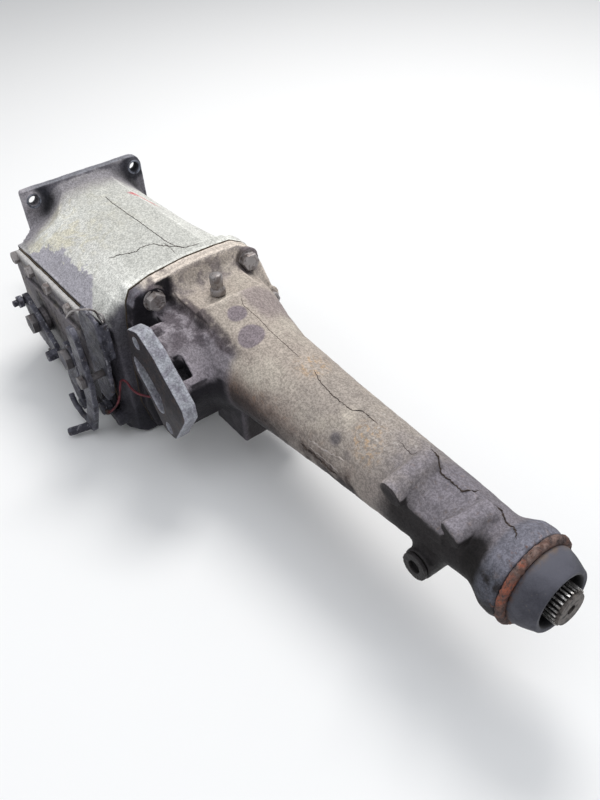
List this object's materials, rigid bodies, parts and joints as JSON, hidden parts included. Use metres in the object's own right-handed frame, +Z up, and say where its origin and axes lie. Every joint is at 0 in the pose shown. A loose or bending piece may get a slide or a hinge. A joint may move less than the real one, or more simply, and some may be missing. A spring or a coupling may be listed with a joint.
{
  "type": "manual transmission",
  "caption": "Rear-drive manual transmission with a side cover, shift levers, constant-mesh gears and a long extension housing ending in a seal round a splined output shaft.",
  "frame": {"origin": "under the middle of the whole part, at the level of the case's flat floor", "axes": "+X along the main shaft, forward to the engine; +Y to the vehicle's left, where the side cover is; +Z up"},
  "size_m": [0.919, 0.2705, 0.206],
  "materials": {
    "case_iron": "grey as-cast iron under old paint and dried mud",
    "tail_iron": "brown-grey as-cast iron, oily",
    "cover_steel": "dark painted steel, greasy",
    "lever_steel": "black oxide steel, greasy",
    "bolt_steel": "dull zinc, browned",
    "gear_steel": "machined and oiled",
    "bronze": "machined bronze",
    "paper": "gasket paper",
    "rubber": "black moulded rubber",
    "nylon": "natural nylon",
    "wire_red": "red insulated wire"
  },
  "bodies": {
    "housing": {"main_case": "case_iron", "front_bearing_retainer": "tail_iron", "retainer_bolt_1": "bolt_steel", "retainer_bolt_2": "bolt_steel", "retainer_bolt_3": "bolt_steel", "retainer_bolt_4": "bolt_steel", "side_cover_gasket": "paper", "side_cover": "cover_steel", "side_cover_bolt_1": "bolt_steel", "side_cover_bolt_2": "bolt_steel", "side_cover_bolt_3": "bolt_steel", "side_cover_bolt_4": "bolt_steel", "side_cover_bolt_5": "bolt_steel", "side_cover_bolt_6": "bolt_steel", "extension_housing": "tail_iron", "extension_gasket": "paper", "extension_bolt_1": "bolt_steel", "extension_bolt_2": "bolt_steel", "extension_bolt_3": "bolt_steel", "extension_bolt_4": "bolt_steel", "extension_bolt_5": "bolt_steel", "vent": "bolt_steel", "extension_bushing": "bronze", "tail_ring": "tail_iron", "output_seal": "rubber", "filler_plug": "bolt_steel", "reverse_lamp_switch": "lever_steel", "switch_wire": "wire_red", "wire_terminal": "bolt_steel", "front_bearing": "gear_steel", "rear_bearing": "gear_steel", "countershaft": "gear_steel", "reverse_idler_shaft": "gear_steel", "linkage_bracket": "lever_steel", "idler_pin": "bolt_steel", "speedometer_adapter": "bolt_steel"},
    "input": {"input_shaft": "gear_steel"},
    "output": {"mainshaft": "gear_steel", "hub_23": "gear_steel", "hub_1r": "gear_steel"},
    "cluster": {"cluster_gear": "gear_steel"},
    "second": {"second_gear": "gear_steel"},
    "first": {"first_gear": "gear_steel"},
    "reverse": {"reverse_gear": "gear_steel"},
    "idler": {"reverse_idler": "gear_steel"},
    "speedometer": {"speedometer_gear": "nylon"},
    "sleeve_23": {"sleeve_23": "bronze"},
    "sleeve_1r": {"sleeve_1r": "bronze"},
    "fork_23": {"fork_23": "bronze"},
    "fork_1r": {"fork_1r": "bronze"},
    "selector_23": {"shift_shaft_23": "lever_steel", "lever_23": "lever_steel", "lever_nut_23": "bolt_steel"},
    "selector_1r": {"shift_shaft_1r": "lever_steel", "lever_1r": "lever_steel", "lever_nut_1r": "bolt_steel"},
    "idler_lever": {"idler_lever": "lever_steel"}
  },
  "joints": [
    {"name": "input_spin", "type": "hinge", "parent": "housing", "child": "input", "pos_m": [0.2945, -0.0304, 0.118], "axis": [1, 0, 0], "continuous": true},
    {"name": "output_spin", "type": "hinge", "parent": "housing", "child": "output", "pos_m": [-0.4055, -0.0304, 0.118], "axis": [1, 0, 0], "continuous": true},
    {"name": "cluster_spin", "type": "hinge", "parent": "housing", "child": "cluster", "pos_m": [0.1945, -0.0504, 0.0551], "axis": [1, 0, 0], "continuous": true},
    {"name": "second_spin", "type": "hinge", "parent": "housing", "child": "second", "pos_m": [0.1645, -0.0304, 0.118], "axis": [1, 0, 0], "continuous": true},
    {"name": "first_spin", "type": "hinge", "parent": "housing", "child": "first", "pos_m": [0.1385, -0.0304, 0.118], "axis": [1, 0, 0], "continuous": true},
    {"name": "reverse_spin", "type": "hinge", "parent": "housing", "child": "reverse", "pos_m": [0.0725, -0.0304, 0.118], "axis": [1, 0, 0], "continuous": true},
    {"name": "idler_spin", "type": "hinge", "parent": "housing", "child": "idler", "pos_m": [0.0725, -0.00691, 0.06179], "axis": [1, 0, 0], "continuous": true},
    {"name": "speedometer_spin", "type": "hinge", "parent": "housing", "child": "speedometer", "pos_m": [-0.3485, -0.0304, 0.09], "axis": [0, 1, 0], "continuous": true},
    {"name": "lever_23_turn", "type": "hinge", "parent": "housing", "child": "selector_23", "pos_m": [0.1985, 0.0696, 0.088], "axis": [0, 1, 0], "range_deg": [-15, 15]},
    {"name": "fork_23_slide", "type": "slide", "parent": "housing", "child": "fork_23", "axis": [1, 0, 0], "range_m": [-0.009, 0.009]},
    {"name": "sleeve_23_slide", "type": "slide", "parent": "output", "child": "sleeve_23", "axis": [1, 0, 0], "range_m": [-0.009, 0.009]},
    {"name": "lever_1r_turn", "type": "hinge", "parent": "housing", "child": "selector_1r", "pos_m": [0.1045, 0.0696, 0.088], "axis": [0, 1, 0], "range_deg": [-15, 15]},
    {"name": "fork_1r_slide", "type": "slide", "parent": "housing", "child": "fork_1r", "axis": [1, 0, 0], "range_m": [-0.009, 0.009]},
    {"name": "sleeve_1r_slide", "type": "slide", "parent": "output", "child": "sleeve_1r", "axis": [1, 0, 0], "range_m": [-0.009, 0.009]},
    {"name": "idler_lever_turn", "type": "hinge", "parent": "housing", "child": "idler_lever", "pos_m": [0.0405, 0.1096, 0.098], "axis": [0, 1, 0], "range_deg": [-10, 10]}
  ],
  "couplings": [
    {"joint": "cluster_spin", "follows": "input_spin", "ratio": -0.69565},
    {"joint": "second_spin", "follows": "input_spin", "ratio": 0.53755},
    {"joint": "first_spin", "follows": "input_spin", "ratio": 0.34783},
    {"joint": "idler_spin", "follows": "input_spin", "ratio": 0.59627},
    {"joint": "reverse_spin", "follows": "input_spin", "ratio": -0.37945},
    {"joint": "speedometer_spin", "follows": "output_spin", "ratio": 0.35},
    {"joint": "fork_23_slide", "follows": "lever_23_turn", "m_per_rad": 0.034},
    {"joint": "sleeve_23_slide", "follows": "lever_23_turn", "m_per_rad": 0.034},
    {"joint": "fork_1r_slide", "follows": "lever_1r_turn", "m_per_rad": 0.034},
    {"joint": "sleeve_1r_slide", "follows": "lever_1r_turn", "m_per_rad": 0.034}
  ]
}
